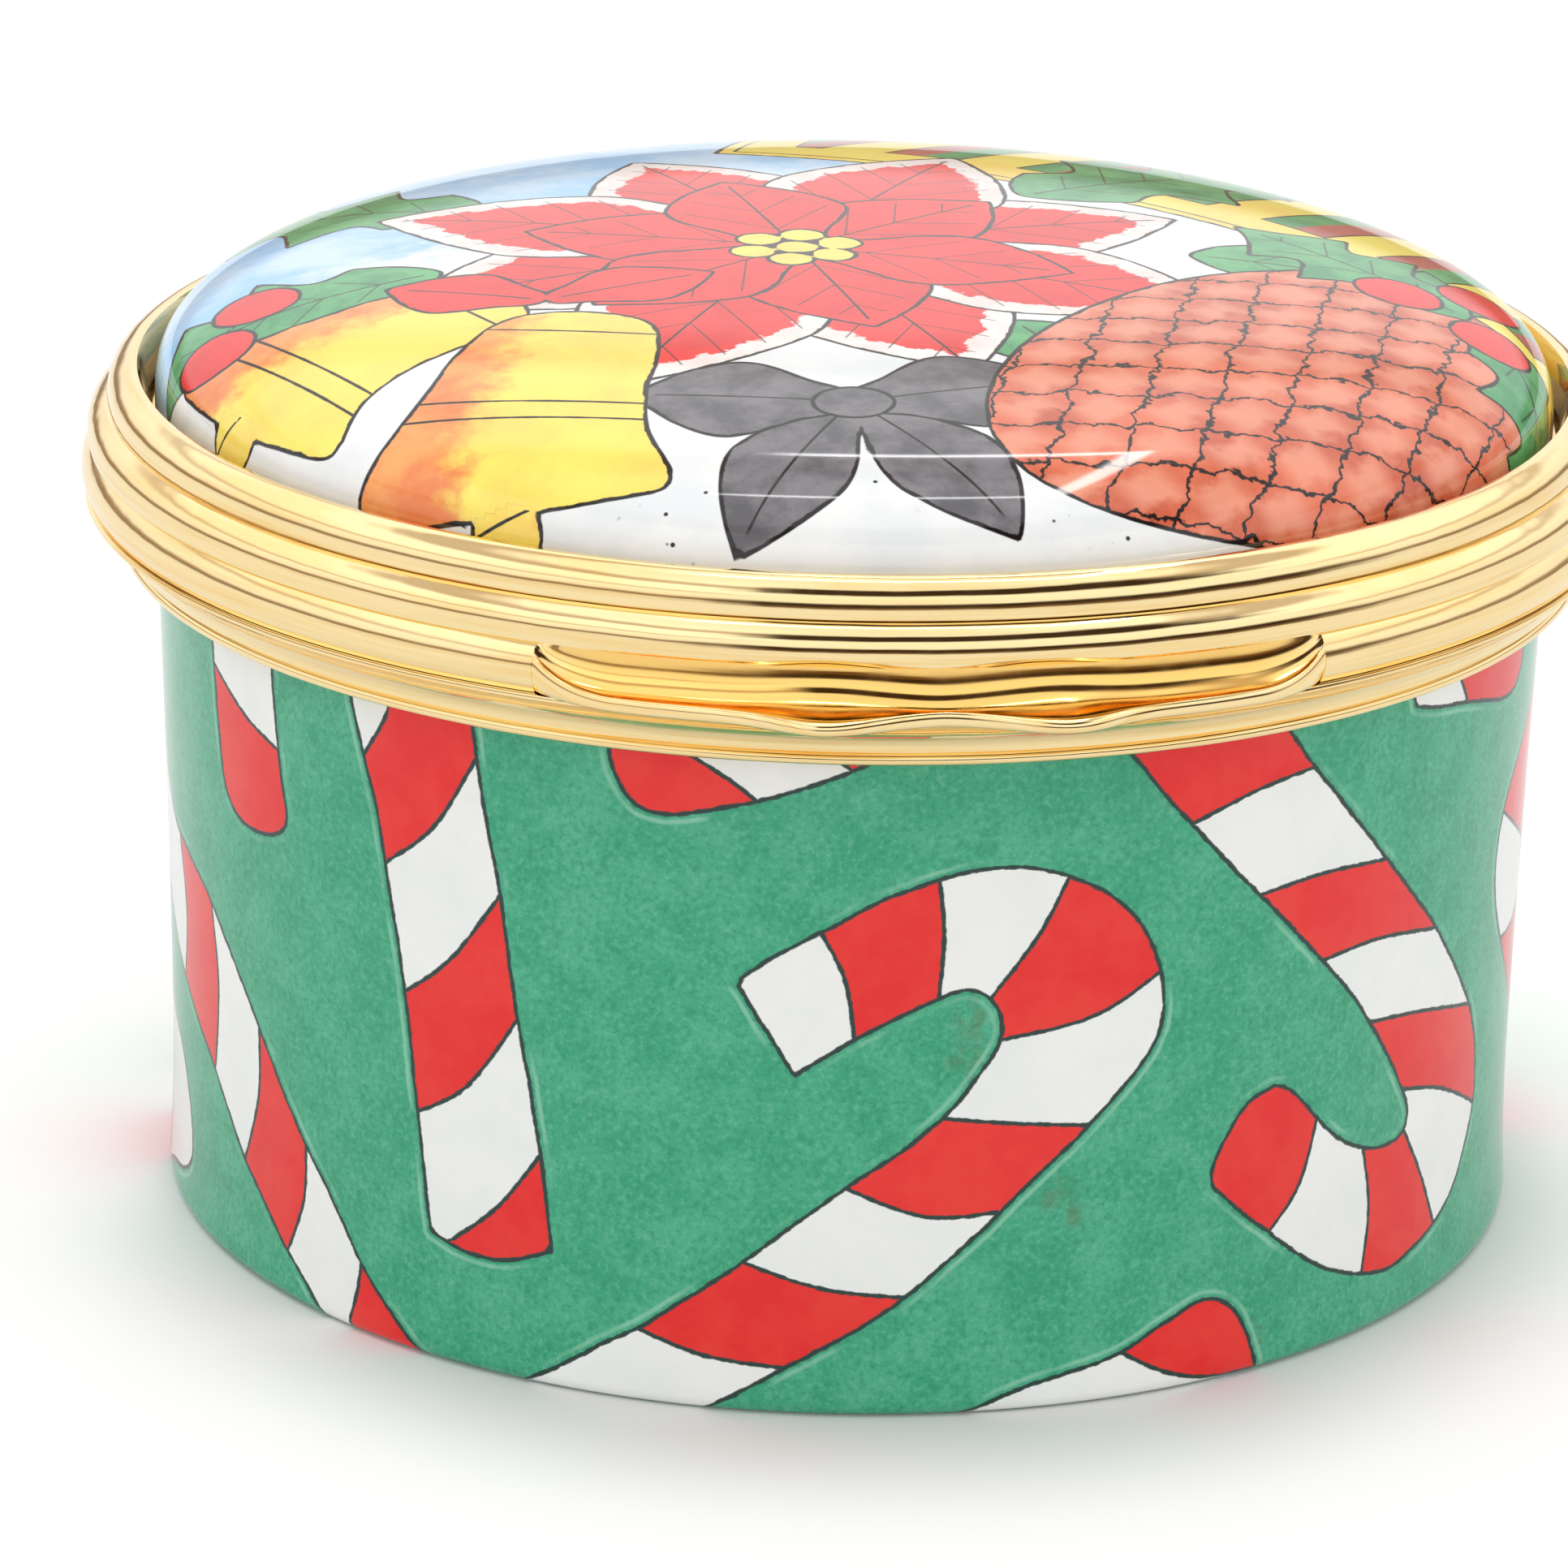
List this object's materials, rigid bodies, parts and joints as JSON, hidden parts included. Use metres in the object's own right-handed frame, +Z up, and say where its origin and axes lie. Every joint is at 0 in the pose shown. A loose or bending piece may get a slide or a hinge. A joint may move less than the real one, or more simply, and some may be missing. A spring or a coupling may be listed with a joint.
{
  "type": "enamel pill box",
  "caption": "Round enamelled pill box with a hinged domed lid, gilt reeded bezels and a wavy thumb piece.",
  "frame": {"origin": "middle of the flat underside of the enamelled cup", "axes": "+Z up through the middle of the lid, -Y towards the thumb piece, +Y towards the hinge, +X to the right seen from the front"},
  "size_m": [0.044, 0.0472, 0.0278],
  "materials": {
    "green_enamel": "glossy enamel with a printed candy cane pattern, white inside",
    "lid_enamel": "glossy enamel with a printed winter flower picture, white underneath",
    "gilt_metal": "polished gilt",
    "brass_wire": "drawn wire, slightly dull"
  },
  "bodies": {
    "base": {"enamel_body": "green_enamel", "base_bezel": "gilt_metal", "hinge_knuckle_left": "gilt_metal", "hinge_knuckle_right": "gilt_metal", "hinge_pin": "brass_wire"},
    "lid": {"lid_bezel": "gilt_metal", "enamel_lid": "lid_enamel", "thumb_piece": "gilt_metal", "hinge_knuckle_centre": "gilt_metal"}
  },
  "joints": [
    {"name": "lid_hinge", "type": "hinge", "parent": "base", "child": "lid", "pos_m": [0, 0.02295, 0.0207], "axis": [-1, 0, 0], "range_deg": [0, 100]}
  ]
}
